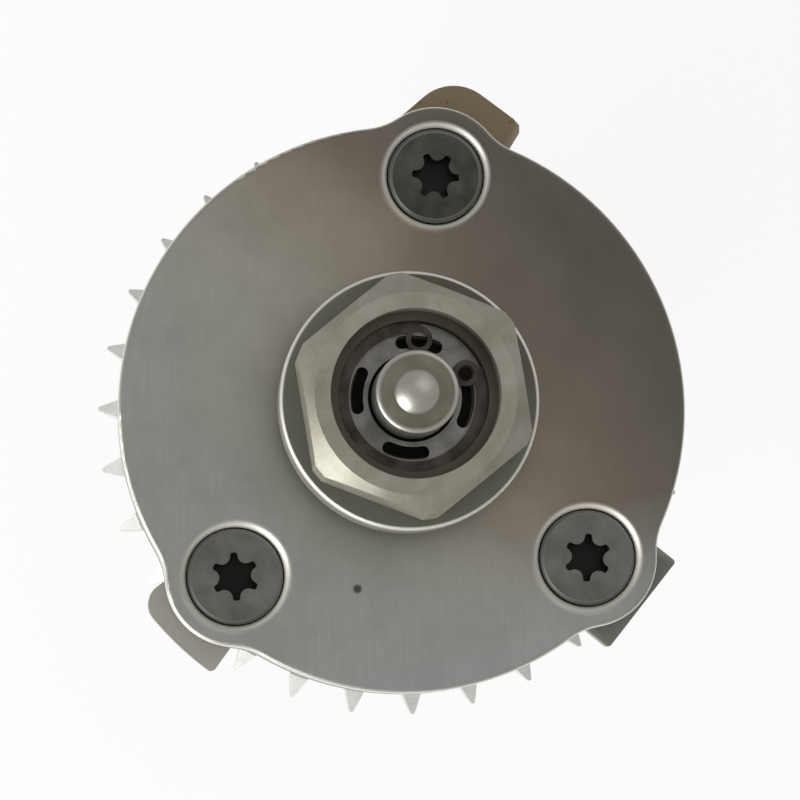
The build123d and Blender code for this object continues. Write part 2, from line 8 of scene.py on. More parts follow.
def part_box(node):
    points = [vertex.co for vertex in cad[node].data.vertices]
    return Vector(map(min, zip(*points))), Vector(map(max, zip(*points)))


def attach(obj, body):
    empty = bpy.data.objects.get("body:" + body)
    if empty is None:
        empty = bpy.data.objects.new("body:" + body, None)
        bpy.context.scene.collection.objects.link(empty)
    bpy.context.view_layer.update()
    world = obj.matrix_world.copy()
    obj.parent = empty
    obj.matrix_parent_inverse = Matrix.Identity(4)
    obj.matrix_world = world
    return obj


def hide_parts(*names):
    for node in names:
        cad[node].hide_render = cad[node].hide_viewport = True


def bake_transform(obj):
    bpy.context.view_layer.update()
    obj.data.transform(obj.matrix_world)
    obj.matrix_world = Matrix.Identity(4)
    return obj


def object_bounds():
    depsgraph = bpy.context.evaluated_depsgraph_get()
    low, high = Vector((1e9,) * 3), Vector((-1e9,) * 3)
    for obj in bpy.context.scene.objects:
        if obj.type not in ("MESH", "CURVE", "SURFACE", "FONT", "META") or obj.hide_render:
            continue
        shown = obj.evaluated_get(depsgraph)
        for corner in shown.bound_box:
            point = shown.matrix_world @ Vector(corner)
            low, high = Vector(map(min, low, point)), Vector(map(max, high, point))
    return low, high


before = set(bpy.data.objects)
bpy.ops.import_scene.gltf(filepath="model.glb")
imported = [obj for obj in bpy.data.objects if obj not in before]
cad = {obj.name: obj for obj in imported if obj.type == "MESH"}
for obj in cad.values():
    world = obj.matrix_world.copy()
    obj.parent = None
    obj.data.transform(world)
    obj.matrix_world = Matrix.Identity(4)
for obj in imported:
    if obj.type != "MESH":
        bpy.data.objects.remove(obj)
cad_box = [list(corner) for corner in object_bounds()]


# Rear plate: a disc of sintered steel that closes the drive at the camshaft's end. It is pressed,
# sintered and ground flat on both sides, and the three cover screws are threaded into it.
def linear(code):
    """An sRGB hex colour as the linear colour that a shader takes."""
    parts = [int(code[i:i + 2], 16) / 255 for i in (1, 3, 5)]
    return (*[c / 12.92 if c <= 0.04045 else ((c + 0.055) / 1.055) ** 2.4 for c in parts], 1.0)


def finish(name):
    """A new material with only its Principled shader, and that shader."""
    material = bpy.data.materials.new(name)
    material.use_nodes = True
    return material, material.node_tree.nodes["Principled BSDF"]


def part(material, kind, links=(), inputs=(), **settings):
    """Adds one node to a material, or to the world, with its settings, its input values and its
    links. The colours of a Mix node are its inputs 6 and 7 and its output 2."""
    node = material.node_tree.nodes.new(kind)
    for key, value in settings.items():
        setattr(node, key, value)
    for key, value in dict(inputs).items():
        node.inputs[key].default_value = value
    for key, source in dict(links).items():
        material.node_tree.links.new(source, node.inputs[key])
    return node


def measured(material, centre=(0.0, 0.0)):
    """Where a point of a piece lies, its distance from the upright line through a centre, and its
    height, all in metres."""
    where = part(material, "ShaderNodeTexCoord").outputs["Object"]
    height = part(material, "ShaderNodeSeparateXYZ", {0: where}).outputs["Z"]
    flat = part(material, "ShaderNodeVectorMath", {0: where}, {1: (1.0, 1.0, 0.0)}, operation="MULTIPLY")
    reach = part(material, "ShaderNodeVectorMath", {0: flat.outputs[0]}, {1: (*centre, 0.0)},
                 operation="DISTANCE")
    return where, reach.outputs["Value"], height


def stain(material, code, *limits):
    """Lays one colour over a finish's own, where every value is past its limit. A limit is the
    value, where the colour starts to show, and where it shows in full."""
    shader = material.node_tree.nodes["Principled BSDF"]
    under = shader.inputs["Base Color"].links[0].from_socket
    so_far = {}
    for value, start, full in limits:
        fade = part(material, "ShaderNodeMapRange", {"Value": value, **so_far},
                    {"From Min": start, "From Max": full})
        so_far = {"To Max": fade.outputs["Result"]}
    over = part(material, "ShaderNodeMix", {0: fade.outputs["Result"], 6: under}, {7: linear(code)},
                data_type="RGBA")
    material.node_tree.links.new(over.outputs[2], shader.inputs["Base Color"])


def wear(material, *names):
    """Gives the CAD nodes of these names a finish."""
    for name in names:
        cad[name].data.materials.clear()
        cad[name].data.materials.append(material)


# Most of a noise lies between these two values, so what it drives runs from one to the other.
noise_range = {"From Min": 0.3, "From Max": 0.7}
tint_places = (0.34, 0.5, 0.66)
relief_depth = 0.00003


def metal(name, tints, patch_mm, cut, grain_mm, rough, relief, centre=(0.0, 0.0), metallic=1.0):
    """A metal with soft patches of three tints, and the marks of how its surface was made:
    rings round a centre if it was turned, long scratches if ground, and even grain if not. The
    marks are drawn coarser than the real ones, so that they show."""
    material, shader = finish(name)
    where, reach, height = measured(material, centre)
    patches = part(material, "ShaderNodeTexNoise", {"Vector": where},
                   {"Scale": 1000 / patch_mm, "Detail": 3.0, "Roughness": 0.55, "Distortion": 0.4})
    tint = part(material, "ShaderNodeValToRGB", {"Fac": patches.outputs["Fac"]})
    for place, code in zip(tint_places, tints):
        tint.color_ramp.elements.new(place).color = linear(code)
    tint.color_ramp.elements.remove(tint.color_ramp.elements[-1])
    tint.color_ramp.elements.remove(tint.color_ramp.elements[0])
    along = where
    if cut == "turned":
        along = part(material, "ShaderNodeCombineXYZ", {0: reach, 2: height}).outputs[0]
    if cut == "ground":
        along = part(material, "ShaderNodeMapping", {"Vector": where},
                     {"Scale": (1.0, 0.08, 1.0), "Rotation": (0.0, 0.0, 0.35)}).outputs[0]
    grain = part(material, "ShaderNodeTexNoise", {"Vector": along},
                 {"Scale": 1000 / grain_mm, "Detail": 4.0, "Roughness": 0.6}).outputs["Fac"]
    tone = part(material, "ShaderNodeMapRange", {"Value": grain},
                {**noise_range, "To Min": 0.93, "To Max": 1.05})
    shade = part(material, "ShaderNodeMix", {6: tint.outputs["Color"], 7: tone.outputs["Result"]},
                 {0: 1.0}, data_type="RGBA", blend_type="MULTIPLY")
    gloss = part(material, "ShaderNodeMapRange", {"Value": grain},
                 {**noise_range, "To Min": rough - 0.06, "To Max": rough + 0.08})
    bump = part(material, "ShaderNodeBump", {"Height": grain},
                {"Strength": relief, "Distance": relief_depth})
    material.node_tree.links.new(shade.outputs[2], shader.inputs["Base Color"])
    material.node_tree.links.new(gloss.outputs["Result"], shader.inputs["Roughness"])
    material.node_tree.links.new(bump.outputs["Normal"], shader.inputs["Normal"])
    shader.inputs["Metallic"].default_value = metallic
    return material


# Ground sintered steel: the wheel leaves long fine scratches and an even satin grey.
plate_steel = metal("ground sintered steel", ("#8b8a84", "#96958f", "#a09f99"),
                    patch_mm=14.0, cut="ground", grain_mm=0.4, rough=0.4, relief=0.2)
wear(plate_steel, "rear_plate")

# Lock bush and lock pin: a ring of hardened steel pressed into the rear plate, and the stepped pin
# in the rotor's widest vane that drops into it when the engine stops.
bush_low, bush_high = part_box("lock_bush")
lock_centre = tuple(((bush_low + bush_high) / 2).xy)
# Hardened and ground steel is smooth and a little bluish, with very fine rings.
hard_steel = metal("hardened and ground steel", ("#8f9294", "#9a9da0", "#a6a9ab"),
                   patch_mm=3.0, cut="turned", grain_mm=0.2, rough=0.22, relief=0.1,
                   centre=lock_centre)
wear(hard_steel, "lock_bush", "lock_pin")

# Drive body: one sintered steel piece with the chain teeth, the chamber walls and three lugs. It
# is pressed, sized in its die and hardened at the teeth.
tooth_band_top = 0.0109
lug_bottom = 0.0204
band_fade = 0.0004
upper_lug = (0.0075, 0.0425, 0.021)
right_lug = (0.0335, -0.0265, 0.021)
upper_reach, right_reach, full_share = 0.011, 0.009, 0.8
rust_mm, rust_start, rust_full, rust_reach = 1.4, 0.66, 0.74, 0.008
# Sized sintered steel is pale, with a fine open grain that takes much of its shine.
body_steel = metal("sized sintered steel", ("#cfcfcb", "#d9d9d5", "#e2e2de"),
                   patch_mm=7.0, cut="as pressed", grain_mm=0.25, rough=0.45, relief=0.4,
                   metallic=0.68)
where, _, height = measured(body_steel)
# The lugs stand above the teeth, and keep the grey skin that the sintering furnace left.
stain(body_steel, "#adaba1", (height, tooth_band_top - band_fade, tooth_band_top + band_fade))
# Heat and old oil have browned the upper lug, and dulled the right one.
for place, lug_reach, code in ((upper_lug, upper_reach, "#86775d"), (right_lug, right_reach, "#787970")):
    off = part(body_steel, "ShaderNodeVectorMath", {0: where}, {1: place}, operation="DISTANCE")
    stain(body_steel, code, (height, lug_bottom - band_fade, lug_bottom),
          (off.outputs["Value"], lug_reach, lug_reach * full_share))
# The upper lug has small spots of rust.
spots = part(body_steel, "ShaderNodeTexNoise", {"Vector": where}, {"Scale": 1000 / rust_mm, "Detail": 2.0})
off = part(body_steel, "ShaderNodeVectorMath", {0: where}, {1: upper_lug}, operation="DISTANCE")
stain(body_steel, "#7b4a2c", (spots.outputs["Fac"], rust_start, rust_full),
      (off.outputs["Value"], upper_reach, rust_reach))
wear(body_steel, "drive_body")

# Seals: bars moulded from a filled, wear-resistant plastic, one in each web and each vane tip.
# They keep the oil in its chamber.
fleck_mm = 0.4
# The filler shows as a dull dark brown fleck, under a low even sheen from wear.
seal_plastic, shader = finish("moulded wear-resistant plastic")
where = part(seal_plastic, "ShaderNodeTexCoord").outputs["Object"]
fleck = part(seal_plastic, "ShaderNodeTexNoise", {"Vector": where},
             {"Scale": 1000 / fleck_mm, "Detail": 3.0}).outputs["Fac"]
shade = part(seal_plastic, "ShaderNodeMix", {0: fleck},
             {6: linear("#1d1a17"), 7: linear("#3a332c")}, data_type="RGBA")
gloss = part(seal_plastic, "ShaderNodeMapRange", {"Value": fleck},
             {**noise_range, "To Min": 0.42, "To Max": 0.58})
seal_plastic.node_tree.links.new(shade.outputs[2], shader.inputs["Base Color"])
seal_plastic.node_tree.links.new(gloss.outputs["Result"], shader.inputs["Roughness"])
shader.inputs["IOR"].default_value = 1.5
wear(seal_plastic, *[f"{side}_seal_{i}" for side in ("web", "vane") for i in (1, 2, 3)])

# Seal springs: bowed strips of stainless steel that lie under the seals and press them out. They
# are cut from rolled strip and bent.
# Rolled strip is bright, with fine lines along its length.
rolled_strip = metal("rolled stainless strip", ("#a5a6a6", "#b0b1b1", "#bbbcbc"),
                     patch_mm=2.0, cut="ground", grain_mm=0.1, rough=0.24, relief=0.1)
wear(rolled_strip, *[f"{side}_seal_spring_{i}" for side in ("web", "vane") for i in (1, 2, 3)])

# Rotor: the hub, its three vanes and the collar that stands out through the cover, one sintered
# steel piece that the bolt clamps on the camshaft. Its faces and its collar are turned.
# Turned sintered steel is a satin grey with fine rings round the axis.
rotor_steel = metal("turned sintered steel", ("#77756d", "#838179", "#8f8d85"),
                    patch_mm=8.0, cut="turned", grain_mm=0.3, rough=0.38, relief=0.25)
wear(rotor_steel, "rotor")

# Lock pin's cap and spring: a disc pressed into the rotor over the pin, punched from strip, and a
# coil of tempered wire that stands in the hollow pin and pushes it down.
# Punched and oiled steel is dull and dark grey.
cap_steel = metal("punched and oiled steel", ("#5d5c57", "#6a6964", "#777670"),
                  patch_mm=3.0, cut="as punched", grain_mm=0.2, rough=0.36, relief=0.2)
wear(cap_steel, "lock_pin_cap")
# Oil-tempered wire is nearly black and glossy.
tempered_wire = metal("oil-tempered spring wire", ("#45443f", "#53524c", "#62615b"),
                      patch_mm=1.5, cut="drawn", grain_mm=0.12, rough=0.26, relief=0.12)
wear(tempered_wire, "lock_pin_spring")


def placed(shape, name):
    """Makes a shape an object of the scene, and frees the shape."""
    mesh = bpy.data.meshes.new(name)
    shape.to_mesh(mesh)
    shape.free()
    obj = bpy.data.objects.new(name, mesh)
    bpy.context.scene.collection.objects.link(obj)
    return obj


def coil(name, node, wire_r, turns, material):
    """A coil of round wire in place of the CAD one, which it hides."""
    low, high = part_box(node)
    x, y = ((low + high) / 2).xy
    coil_r = (high.x - low.x) / 2 - wire_r
    climb = (high.z - low.z - 2 * wire_r) / turns
    sides, steps = 12, 36
    start = Matrix.Translation((x + coil_r, y, low.z + wire_r)) @ Matrix.Rotation(math.pi / 2, 4, "X")
    wire = bmesh.new()
    bmesh.ops.create_circle(wire, segments=sides, radius=wire_r, matrix=start)
    bmesh.ops.spin(wire, geom=wire.verts[:] + wire.edges[:], cent=(x, y, 0), axis=(0, 0, 1),
                   dvec=(0, 0, climb / steps), angle=2 * math.pi * turns, steps=steps * turns,
                   use_merge=False)
    bmesh.ops.holes_fill(wire, edges=[e for e in wire.edges if e.is_boundary], sides=0)
    bmesh.ops.recalc_face_normals(wire, faces=wire.faces)
    obj = placed(wire, name)
    obj.data.shade_smooth()
    obj.data.set_sharp_from_angle(angle=math.radians(40))
    obj.data.materials.append(material)
    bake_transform(obj)
    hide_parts(node)


coil("lock_pin_coil", "lock_pin_spring",
     wire_r=0.0004, turns=5, material=tempered_wire)

# Front cover: a thick plate with three ears that the screws hold on the drive body. It is pressed
# from iron powder, sintered, ground flat and oiled.
cover_face = 0.029
blast_and_highlight_top, blast_and_highlight_full = cover_face - 0.00003, cover_face - 0.0003
side_top, side_full = cover_face - 0.0011, cover_face - 0.0015
dot_place = (-0.0062, -0.0246, cover_face)
dot_rim, dot_floor, dot_depth = 0.00075, 0.0004, 0.00018
oil_and_shade_way, oil_and_shade_thin, oil_and_shade_thick = (0.84, 0.54, 0.0), -0.022, 0.052
oil_and_shade_tints = ((0.12, "#a7a8a1"), (0.35, "#a6a49a"), (0.6, "#978d7f"), (0.74, "#7e756a"), (0.95, "#67645c"))
drift_mm, drift_by = 45.0, 0.03
clean_and_lit_way, clean_and_lit_start, clean_and_lit_full = (0.2, -1.0, 0.0), 0.018, 0.036
scratch_mm, scratch_turns, scratch_range = 0.35, (0.25, -0.7), {"From Min": 0.75, "From Max": 1.25}
blotch_mm, blotch_range = 7.0, {"From Min": 0.42, "From Max": 0.72}
# Ground steel is a satin grey with fine crossed scratches. Over it lies a tint that turns brown
# and darker towards the upper right: partly a film of old oil, partly painted shade.
cover_steel, shader = finish("ground and oiled cover steel")
where, _, depth = measured(cover_steel)
drift = part(cover_steel, "ShaderNodeTexNoise", {"Vector": where},
             {"Scale": 1000 / drift_mm, "Detail": 2.5, "Roughness": 0.5, "Distortion": 0.5})
towards = part(cover_steel, "ShaderNodeVectorMath", {0: where}, {1: oil_and_shade_way}, operation="DOT_PRODUCT")
oil_and_shade = part(cover_steel, "ShaderNodeMath", {0: drift.outputs["Fac"], 2: towards.outputs["Value"]},
            {1: drift_by}, operation="MULTIPLY_ADD")
thickness = part(cover_steel, "ShaderNodeMapRange", {"Value": oil_and_shade.outputs[0]},
                 {"From Min": oil_and_shade_thin, "From Max": oil_and_shade_thick})
tint = part(cover_steel, "ShaderNodeValToRGB", {"Fac": thickness.outputs["Result"]})
for place, code in oil_and_shade_tints:
    tint.color_ramp.elements.new(place).color = linear(code)
tint.color_ramp.elements.remove(tint.color_ramp.elements[-1])
tint.color_ramp.elements.remove(tint.color_ramp.elements[0])
cover_steel.node_tree.links.new(tint.outputs["Color"], shader.inputs["Base Color"])
# Towards the lower edge it lightens to clean grey steel: partly thinner oil, partly painted light.
lower = part(cover_steel, "ShaderNodeVectorMath", {0: where}, {1: clean_and_lit_way}, operation="DOT_PRODUCT")
stain(cover_steel, "#a8aba7", (lower.outputs["Value"], clean_and_lit_start, clean_and_lit_full))
# The scratches are drawn coarser than the real ones, so that they show at all.
scratches = []
for turn in scratch_turns:
    drawn = part(cover_steel, "ShaderNodeMapping", {"Vector": where},
                 {"Scale": (1.0, 0.05, 1.0), "Rotation": (0.0, 0.0, turn)})
    scratches.append(part(cover_steel, "ShaderNodeTexNoise", {"Vector": drawn.outputs[0]},
                          {"Scale": 1000 / scratch_mm, "Detail": 3.0, "Roughness": 0.6}).outputs["Fac"])
crossed = part(cover_steel, "ShaderNodeMath", dict(enumerate(scratches)), operation="ADD").outputs[0]
tone = part(cover_steel, "ShaderNodeMapRange", {"Value": crossed},
            {**scratch_range, "To Min": 0.97, "To Max": 1.03})
# Handling has left faint blotches, a few millimetres across, on the oiled face.
blotches = part(cover_steel, "ShaderNodeTexNoise", {"Vector": where},
                {"Scale": 1000 / blotch_mm, "Detail": 4.0, "Roughness": 0.65})
blotch = part(cover_steel, "ShaderNodeMapRange",
              {"Value": blotches.outputs["Fac"], "To Min": tone.outputs["Result"]},
              {**blotch_range, "To Max": 0.9})
oiled = shader.inputs["Base Color"].links[0].from_socket
shade = part(cover_steel, "ShaderNodeMix", {6: oiled, 7: blotch.outputs["Result"]},
             {0: 1.0}, data_type="RGBA", blend_type="MULTIPLY")
gloss = part(cover_steel, "ShaderNodeMapRange", {"Value": crossed},
             {**scratch_range, "To Min": 0.4, "To Max": 0.45})
cover_steel.node_tree.links.new(shade.outputs[2], shader.inputs["Base Color"])
cover_steel.node_tree.links.new(gloss.outputs["Result"], shader.inputs["Roughness"])
# The rounded edges and the lips round the screws are pale and matt, partly from blasting and partly
# as a painted highlight, and below them the side is bare grey steel.
blast_and_highlight = part(cover_steel, "ShaderNodeMapRange", {"Value": depth},
             {"From Min": blast_and_highlight_top, "From Max": blast_and_highlight_full, "To Min": 1.0, "To Max": 0.45})
side = part(cover_steel, "ShaderNodeMapRange", {"Value": depth, "To Min": blast_and_highlight.outputs["Result"]},
            {"From Min": side_top, "From Max": side_full, "To Max": 1.0})
cover_steel.node_tree.links.new(side.outputs["Result"], shader.inputs["Metallic"])
stain(cover_steel, "#d8d6cb", (depth, blast_and_highlight_top, blast_and_highlight_full))
stain(cover_steel, "#8b8a83", (depth, side_top, side_full))
# One plain dot from a centre punch marks the face.
dot = part(cover_steel, "ShaderNodeVectorMath", {0: where}, {1: dot_place},
           operation="DISTANCE").outputs["Value"]
stain(cover_steel, "#55534d", (dot, dot_rim, dot_floor))
sunk = part(cover_steel, "ShaderNodeMapRange", {"Value": dot}, {"From Min": dot_rim, "From Max": dot_floor})
surface = part(cover_steel, "ShaderNodeMath", {0: sunk.outputs["Result"], 2: crossed},
               {1: -dot_depth / relief_depth}, operation="MULTIPLY_ADD")
bump = part(cover_steel, "ShaderNodeBump", {"Height": surface.outputs[0]},
            {"Strength": 0.08, "Distance": relief_depth})
cover_steel.node_tree.links.new(bump.outputs["Normal"], shader.inputs["Normal"])
wear(cover_steel, "front_cover")

# Cover screws: cold-headed alloy steel with a six-lobe socket, threaded into the rear plate. They
# are phosphated dark and oiled, and the upper one is painted darker than the two below, as painted shade.
socket_top, socket_shade_full = 0.0284, 0.0266
socket_r, socket_rim = 0.0034, 0.0036
head_worn, head_rim = 0.00588, 0.00602
painted_shade_tints = ("#3e403a", "#494b45", "#555750")
plain_tints = ("#646762", "#70736e", "#7b7e79")
# Phosphate is a dull grey-green. It has worn off a thin line at the rim of each head, and the
# socket is painted near black, as painted shade deep in it.
for number, tints in ((1, painted_shade_tints), (2, plain_tints), (3, plain_tints)):
    name = f"cover_screw_{number}"
    low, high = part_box(name)
    centre = tuple(((low + high) / 2).xy)
    screw_steel = metal(f"phosphated screw steel {number}", tints, patch_mm=5.0, cut="turned",
                        grain_mm=0.35, rough=0.42, relief=0.2, centre=centre, metallic=0.9)
    _, reach, depth = measured(screw_steel, centre)
    stain(screw_steel, "#7b7c76", (reach, head_worn, head_rim))
    stain(screw_steel, "#272825", (depth, socket_top, socket_shade_full), (reach, socket_rim, socket_r))
    wear(screw_steel, name)

# Valve bolt: forged alloy steel, machined and zinc plated, with the valve's bore down its middle.
# It holds the rotor on the camshaft, by a thread of 1.5 mm pitch that is rolled on its end.
pitch = 0.0015
thread_top, thread_end = -0.0237, -0.0384
root_r, crest_r, tip_r = 0.0092, 0.01, 0.0088
crest_low, crest_high, groove_low = 0.00046, 0.00079, 0.00125
steps, turns = 48, 13


def cut_level(shape, level, side):
    """Cuts off what lies above a level, for a side of 1, or below it, for -1, and closes the cut."""
    cut = bmesh.ops.bisect_plane(shape, geom=shape.verts[:] + shape.edges[:] + shape.faces[:],
                                 clear_outer=True, plane_co=(0, 0, level), plane_no=(0, 0, side))
    bmesh.ops.holes_fill(shape, edges=[e for e in cut["geom_cut"] if isinstance(e, bmesh.types.BMEdge)],
                         sides=0)


bolt = bmesh.new()
bolt.from_mesh(cad["valve_bolt"].data)
bmesh.ops.remove_doubles(bolt, verts=bolt.verts, dist=1e-6)
cut_level(bolt, thread_top, -1)
# One pitch of the thread's outline climbs by a pitch each turn, and is cut level at both ends.
thread = bmesh.new()
outline = [(root_r, 0.0), (crest_r, crest_low), (crest_r, crest_high), (root_r, groove_low), (root_r, pitch)]
corners = [thread.verts.new((r, 0.0, thread_end - 2 * pitch + z)) for r, z in outline]
line = [thread.edges.new(pair) for pair in zip(corners, corners[1:])]
bmesh.ops.spin(thread, geom=corners + line, cent=(0, 0, 0), axis=(0, 0, 1), dvec=(0, 0, pitch / steps),
               angle=2 * math.pi * turns, steps=steps * turns, use_merge=False)
bmesh.ops.remove_doubles(thread, verts=thread.verts, dist=5e-6)
cut_level(thread, thread_top, 1)
cut_level(thread, thread_end, -1)
# The thread starts with a chamfer at the bolt's end.
for corner in thread.verts:
    corner_r = corner.co.xy.length
    lead_r = tip_r + corner.co.z - thread_end
    if corner_r > lead_r:
        corner.co.xy *= lead_r / corner_r
bmesh.ops.recalc_face_normals(thread, faces=thread.faces)
thread_mesh = bpy.data.meshes.new("bolt_thread")
thread.to_mesh(thread_mesh)
thread.free()
bolt.from_mesh(thread_mesh)
bpy.data.meshes.remove(thread_mesh)
threaded_bolt = placed(bolt, "threaded_valve_bolt")
bolt_mesh = threaded_bolt.data
bolt_mesh.attributes.remove(bolt_mesh.attributes["custom_normal"])
bolt_mesh.shade_smooth()
bolt_mesh.set_sharp_from_angle(angle=math.radians(20))

# Zinc plate is a pale warm grey with a soft gloss, and oil has yellowed it in patches. Each pair
# of sizes is where a colour starts to show on the bolt, and where it shows in full.
cloud_mm, cloud_show = 5.0, (0.5, 0.75)
flange_side, flange_face = (0.0395, 0.0402), (0.0412, 0.041)
hex_shadow_way, hex_shadow_reach = (0.57, 0.82, 0.0), (0.006, 0.0145)
rim_side, rim_edge = (0.039, 0.0398), (0.01685, 0.01705)
bore_mouth, bore_foot, bore_wall = (0.0485, 0.0468), (0.0415, 0.0425), (0.01135, 0.01125)
zinc = metal("zinc-plated steel", ("#929083", "#9a988b", "#a3a195"),
             patch_mm=6.0, cut="as plated", grain_mm=0.4, rough=0.44, relief=0.15, metallic=0.7)
where, reach, depth = measured(zinc)
cloud = part(zinc, "ShaderNodeTexNoise", {"Vector": where},
             {"Scale": 1000 / cloud_mm, "Detail": 4.0, "Roughness": 0.6})
stain(zinc, "#8c8775", (cloud.outputs["Fac"], *cloud_show))
# The flange is duller than the hex. On its far side, behind the hex from the lamp, a painted
# shadow of the hex darkens it, and handling has worn its rim bright.
hex_shadow = part(zinc, "ShaderNodeVectorMath", {0: where}, {1: hex_shadow_way},
           operation="DOT_PRODUCT").outputs["Value"]
stain(zinc, "#6c6c62", (depth, *flange_side), (depth, *flange_face))
stain(zinc, "#5a5749", (depth, *flange_side), (depth, *flange_face), (hex_shadow, *hex_shadow_reach))
stain(zinc, "#dcdbd3", (depth, *rim_side), (depth, *flange_face), (reach, *rim_edge))
# The bore below the mouth was never plated, and is painted dark as painted shade inside it.
stain(zinc, "#4d463c", (depth, *bore_mouth), (depth, *bore_foot), (reach, *bore_wall))
bolt_mesh.materials.append(zinc)
wear(zinc, "valve_bolt")
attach(threaded_bolt, "camshaft_side")
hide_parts("valve_bolt")

# Filter screen: a band of woven stainless mesh round the bolt's neck, between two folded rims.
# It keeps grit out of the valve. The weave is 0.65 mm here, coarser than the real one, to show.
screen_r, screen_low, screen_high = 0.01, -0.0199, -0.0131
rows, columns = 10, 96
over_wire, under_wire, wire_t = 1.006, 0.994, 0.00022
rim_in, rim_out, rim_h = 0.0098, 0.01022, 0.0008
screen = bmesh.new()
bmesh.ops.create_circle(screen, segments=columns, radius=screen_r,
                        matrix=Matrix.Translation((0, 0, screen_low)))
edges = screen.edges[:]
for row in range(rows):
    grown = bmesh.ops.extrude_edge_only(screen, edges=edges)["geom"]
    edges = [e for e in grown if isinstance(e, bmesh.types.BMEdge)]
    bmesh.ops.translate(screen, vec=(0, 0, (screen_high - screen_low) / rows),
                        verts=[v for v in grown if isinstance(v, bmesh.types.BMVert)])
# Each crossing of the wires stands out or in, turn by turn, as in a plain weave.
for corner in screen.verts:
    row = round((corner.co.z - screen_low) * rows / (screen_high - screen_low))
    column = round(math.atan2(corner.co.y, corner.co.x) * columns / (2 * math.pi))
    corner.co.xy *= over_wire if (row + column) % 2 else under_wire
bmesh.ops.wireframe(screen, faces=screen.faces, thickness=wire_t, use_replace=True, use_boundary=True,
                    use_even_offset=True)
for low in (screen_low, screen_high - rim_h):
    section = ((rim_in, low), (rim_out, low), (rim_out, low + rim_h), (rim_in, low + rim_h))
    rim = [screen.verts.new((r, 0, z)) for r, z in section]
    rim_edges = [screen.edges.new(pair) for pair in zip(rim, rim[1:] + rim[:1])]
    bmesh.ops.spin(screen, geom=rim + rim_edges, cent=(0, 0, 0), axis=(0, 0, 1), angle=2 * math.pi,
                   steps=columns, use_merge=True)
bmesh.ops.recalc_face_normals(screen, faces=screen.faces)
woven_screen = placed(screen, "woven_filter_screen")
# Drawn stainless wire is bright and smooth.
mesh_steel = metal("woven stainless wire", ("#9a9b98", "#a8a9a6", "#b6b7b4"),
                   patch_mm=2.0, cut="drawn", grain_mm=0.15, rough=0.28, relief=0.1)
woven_screen.data.materials.append(mesh_steel)
wear(mesh_steel, "filter_screen")
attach(woven_screen, "camshaft_side")
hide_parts("filter_screen")

# Check valve: a bearing ball on a hard turned seat, held by a light spring under a drilled disc.
# The seat and the disc are pressed into the bolt's bore, and oil can't run back past the ball.
# A lapped ball is a mirror with hardly a mark.
ball_steel = metal("lapped bearing steel", ("#b9bbbd", "#c4c6c8", "#cfd1d3"),
                   patch_mm=2.5, cut="as lapped", grain_mm=0.1, rough=0.1, relief=0.03)
wear(ball_steel, "check_ball")
# Hardened and turned steel is a cool grey, with rings round the bore.
seat_steel = metal("hardened and turned steel", ("#85878a", "#909294", "#9b9da0"),
                   patch_mm=4.0, cut="turned", grain_mm=0.25, rough=0.28, relief=0.15)
wear(seat_steel, "check_seat")
# Punched steel that was ground flat is darker, with straight scratches.
disc_steel = metal("punched and drilled steel", ("#61615c", "#6e6e68", "#7b7b74"),
                   patch_mm=4.0, cut="ground", grain_mm=0.3, rough=0.36, relief=0.2)
wear(disc_steel, "spring_carrier")
# Fine stainless wire is bright.
fine_wire = metal("stainless spring wire", ("#8e8f8d", "#9b9c9a", "#a8a9a7"),
                  patch_mm=1.0, cut="drawn", grain_mm=0.1, rough=0.24, relief=0.08)
wear(fine_wire, "check_ball_spring")
coil("check_ball_coil", "check_ball_spring",
     wire_r=0.00025, turns=3, material=fine_wire)

# Spool and its spring: a slider turned from aluminium and hard anodised, on a coil of tempered
# wire that pushes it up against the stop disc.
shade_low, shade_high = 0.0425, 0.0434
# Hard anodising is a matt warm grey. The spool's upper end is painted black, as painted shade down in the
# bore.
anodised = metal("hard anodised aluminium", ("#6c6a62", "#77756c", "#828077"),
                 patch_mm=5.0, cut="turned", grain_mm=0.3, rough=0.44, relief=0.15)
_, _, depth = measured(anodised)
stain(anodised, "#171614", (depth, shade_low, shade_high))
wear(anodised, "spool")
wear(tempered_wire, "spool_spring")
coil("spool_coil", "spool_spring",
     wire_r=0.0005, turns=4, material=tempered_wire)

# Spool nose: a cap of turned and hardened steel with a domed button, pressed into the spool. The
# solenoid's pin pushes on the button.
button_edge, button_worn = 0.0031, 0.0027
nose_worn, nose_rim = 0.00475, 0.0051
# Turned steel is a warm grey with fine rings, rubbed bright on the button and at the rim.
nose_steel = metal("turned and hardened nose steel", ("#767366", "#807d70", "#8b887b"),
                   patch_mm=4.0, cut="turned", grain_mm=0.3, rough=0.4, relief=0.12)
_, reach, _ = measured(nose_steel)
stain(nose_steel, "#b5b1a8", (reach, button_edge, button_worn))
stain(nose_steel, "#b9b7ae", (reach, nose_worn, nose_rim))
wear(nose_steel, "spool_nose")

# Stop disc: a slotted washer under the ring, punched from strip. It keeps the spool in and lets
# the oil drain.
eye_place = (0.0070, 0.0032, 0.0448)
eye_edge, eye_full = 0.0013, 0.0009
# Punched steel is dull with oil, and near black in a small round spot under the ring's right eye.
stop_steel = metal("punched stop disc steel", ("#787673", "#868481", "#93918e"),
                   patch_mm=3.0, cut="as punched", grain_mm=0.2, rough=0.34, relief=0.2)
where = part(stop_steel, "ShaderNodeTexCoord").outputs["Object"]
eye = part(stop_steel, "ShaderNodeVectorMath", {0: where}, {1: eye_place}, operation="DISTANCE")
stain(stop_steel, "#1d1b18", (eye.outputs["Value"], eye_edge, eye_full))
wear(stop_steel, "stop_disc")

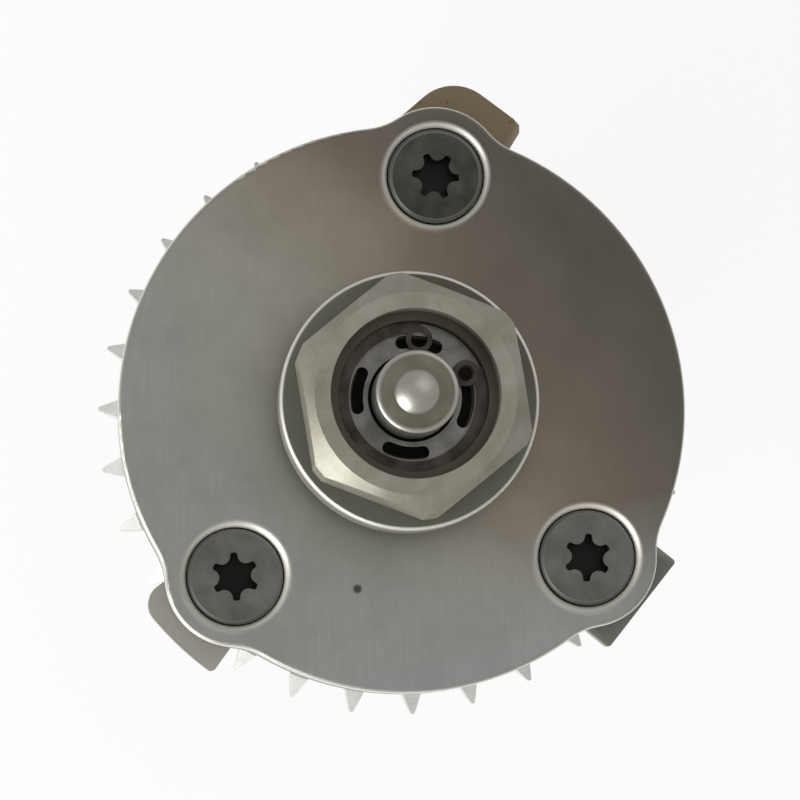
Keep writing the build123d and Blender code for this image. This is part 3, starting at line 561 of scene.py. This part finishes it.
# Retaining ring: blanked from spring steel, blackened in oil, and sprung into the bore's groove
# with pliers by its two eyes.
# Blackened steel is a warm near-black with a low shine.
ring_steel = metal("blackened spring steel", ("#3b3833", "#48443e", "#56514a"),
                   patch_mm=3.0, cut="as punched", grain_mm=0.2, rough=0.34, relief=0.2)
wear(ring_steel, "retaining_ring")

# Stage: a plain sheet of white paper under the bolt's end. A large soft lamp stands for a window
# at the photo's lower left, and a weak one for the room at its upper right.
paper_sheet = bmesh.new()
bmesh.ops.create_grid(paper_sheet, x_segments=1, y_segments=1, size=3.0,
                      matrix=Matrix.Translation((0, 0, cad_box[0][2])))
floor = placed(paper_sheet, "floor")
# Paper is matt and nearly white. The camera and the metal's reflections see it as lit evenly, and
# it keeps the gear's shadow.
evenness = 0.87
paper, shader = finish("white paper")
shader.inputs["Base Color"].default_value = linear("#f4f4f2")
shader.inputs["Roughness"].default_value = 0.9
way = part(paper, "ShaderNodeLightPath")
seen = part(paper, "ShaderNodeMath", {0: way.outputs["Is Camera Ray"], 1: way.outputs["Is Glossy Ray"]},
            operation="ADD")
even = part(paper, "ShaderNodeMath", {0: seen.outputs[0]}, {1: evenness}, operation="MULTIPLY")
glow = part(paper, "ShaderNodeEmission", inputs={"Color": linear("#ffffff"), "Strength": 1.0})
mixed = part(paper, "ShaderNodeMixShader", {0: even.outputs[0], 1: shader.outputs[0], 2: glow.outputs[0]})
paper.node_tree.links.new(mixed.outputs[0], paper.node_tree.nodes["Material Output"].inputs["Surface"])
floor.data.materials.append(paper)

# The room is white to the camera, and half as bright to the gear.
room_level = 0.5
world = bpy.context.scene.world or bpy.data.worlds.new("world")
bpy.context.scene.world = world
world.use_nodes = True
sky = world.node_tree.nodes["Background"]
way = part(world, "ShaderNodeLightPath")
level = part(world, "ShaderNodeMapRange", {"Value": way.outputs["Is Camera Ray"]}, {"To Min": room_level})
world.node_tree.links.new(level.outputs["Result"], sky.inputs["Strength"])
sky.inputs["Color"].default_value = linear("#ffffff")

# Both lamps are turned towards the cover.
aim = Vector((0, 0, 0.03))


def soft_light(name, place, size, watts):
    """A square soft lamp at a place in metres, turned to its aim."""
    lamp = bpy.data.lights.new(name, "AREA")
    lamp.shape = "SQUARE"
    lamp.size = size
    lamp.energy = watts
    obj = bpy.data.objects.new(name, lamp)
    obj.location = place
    obj.rotation_euler = (aim - Vector(place)).to_track_quat("-Z", "Y").to_euler()
    bpy.context.scene.collection.objects.link(obj)


soft_light("window light", place=(-0.42, -0.36, 0.24), size=0.4, watts=3.5)
soft_light("room light", place=(0.3, 0.35, 0.6), size=0.6, watts=0.6)

# Camera: 6.8 degrees off the gear's axis, towards the photo's lower left, 0.55 m from the cover
# and moved a little aside and up to frame the gear as the photo does.
tilt = math.radians(6.8)
turn = math.radians(230.0)
distance, aside, lift = 0.55, -0.00043, 0.0011
sensor_mm, focal_mm = 36.0, 182.1
back = Vector((math.sin(tilt) * math.cos(turn), math.sin(tilt) * math.sin(turn), math.cos(tilt)))
right = Vector((0, 1, 0)).cross(back).normalized()
up = back.cross(right)
lens = bpy.data.cameras.new("camera")
lens.sensor_width = sensor_mm
lens.lens = focal_mm
camera = bpy.data.objects.new("camera", lens)
bpy.context.scene.collection.objects.link(camera)
place = Vector((0, 0, cover_face)) + back * distance + right * aside + up * lift
camera.matrix_world = Matrix.Translation(place) @ Matrix((right, up, back)).transposed().to_4x4()
bpy.context.scene.camera = camera
bpy.context.scene.view_settings.view_transform = "Standard"
